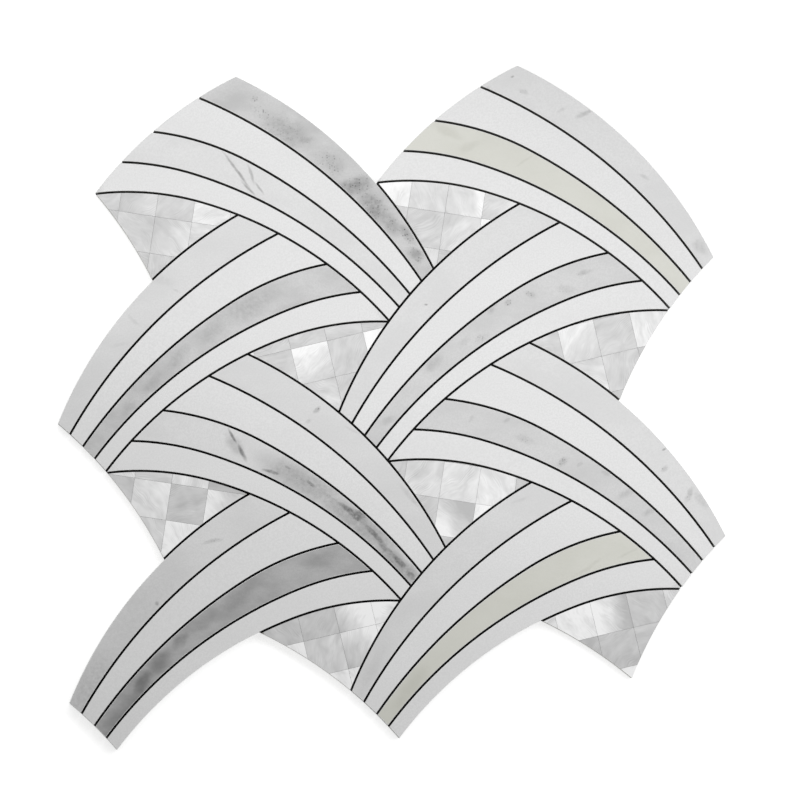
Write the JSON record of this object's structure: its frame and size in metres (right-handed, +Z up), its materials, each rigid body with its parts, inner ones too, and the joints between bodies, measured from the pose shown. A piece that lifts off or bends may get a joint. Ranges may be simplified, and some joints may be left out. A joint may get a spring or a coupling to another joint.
{
  "type": "waterjet mosaic tile sheet",
  "caption": "Waterjet mosaic sheet of interlocking marble fans in white, grey-veined and cream strips, with mother-of-pearl chip inlays, laid on fibreglass mesh",
  "frame": {"origin": "centre of the sheet's bounding box, on its underside", "axes": "+Z up through the thickness, polished face up; +Y up the pattern, so that each fan's crown points to +Y; +X across the sheet"},
  "size_m": [0.3578, 0.3606, 0.01],
  "materials": {
    "white_marble": "polished white crystalline marble",
    "grey_veined_marble": "polished grey-veined marble",
    "cream_marble": "polished cream marble",
    "mother_of_pearl": "polished shell",
    "ceramic_backer": "matt unglazed",
    "fibreglass_mesh": "woven, set in dark adhesive"
  },
  "bodies": {
    "root": {"backing_mesh": "fibreglass_mesh", "left_fan_1_outer_strip": "grey_veined_marble", "left_fan_1_wide_strip": "white_marble", "left_fan_1_inlay_strip": "grey_veined_marble", "left_fan_1_inner_strip": "white_marble", "left_inlay_1_chips": "mother_of_pearl", "left_inlay_1_backer": "ceramic_backer", "left_fan_2_outer_strip": "grey_veined_marble", "left_fan_2_wide_strip": "white_marble", "left_fan_2_inlay_strip": "cream_marble", "left_fan_2_inner_strip": "white_marble", "left_inlay_2_chips": "mother_of_pearl", "left_inlay_2_backer": "ceramic_backer", "left_fan_3_outer_strip": "grey_veined_marble", "left_fan_3_wide_strip": "white_marble", "left_fan_3_inlay_strip": "grey_veined_marble", "left_fan_3_inner_strip": "white_marble", "left_inlay_3_chips": "mother_of_pearl", "left_inlay_3_backer": "ceramic_backer", "left_fan_4_outer_strip": "grey_veined_marble", "left_fan_4_wide_strip": "white_marble", "left_fan_4_inlay_strip": "grey_veined_marble", "left_fan_4_inner_strip": "white_marble", "left_inlay_4_chips": "mother_of_pearl", "left_inlay_4_backer": "ceramic_backer", "right_fan_1_outer_strip": "grey_veined_marble", "right_fan_1_wide_strip": "white_marble", "right_fan_1_inlay_strip": "grey_veined_marble", "right_fan_1_inner_strip": "white_marble", "right_inlay_1_chips": "mother_of_pearl", "right_inlay_1_backer": "ceramic_backer", "right_fan_2_outer_strip": "grey_veined_marble", "right_fan_2_wide_strip": "white_marble", "right_fan_2_inlay_strip": "grey_veined_marble", "right_fan_2_inner_strip": "white_marble", "right_inlay_2_chips": "mother_of_pearl", "right_inlay_2_backer": "ceramic_backer", "right_fan_3_outer_strip": "grey_veined_marble", "right_fan_3_wide_strip": "white_marble", "right_fan_3_inlay_strip": "grey_veined_marble", "right_fan_3_inner_strip": "white_marble", "right_inlay_3_chips": "mother_of_pearl", "right_inlay_3_backer": "ceramic_backer", "right_fan_4_outer_strip": "grey_veined_marble", "right_fan_4_wide_strip": "white_marble", "right_fan_4_inlay_strip": "cream_marble", "right_fan_4_inner_strip": "white_marble", "right_inlay_4_chips": "mother_of_pearl", "right_inlay_4_backer": "ceramic_backer"}
  },
  "joints": []
}
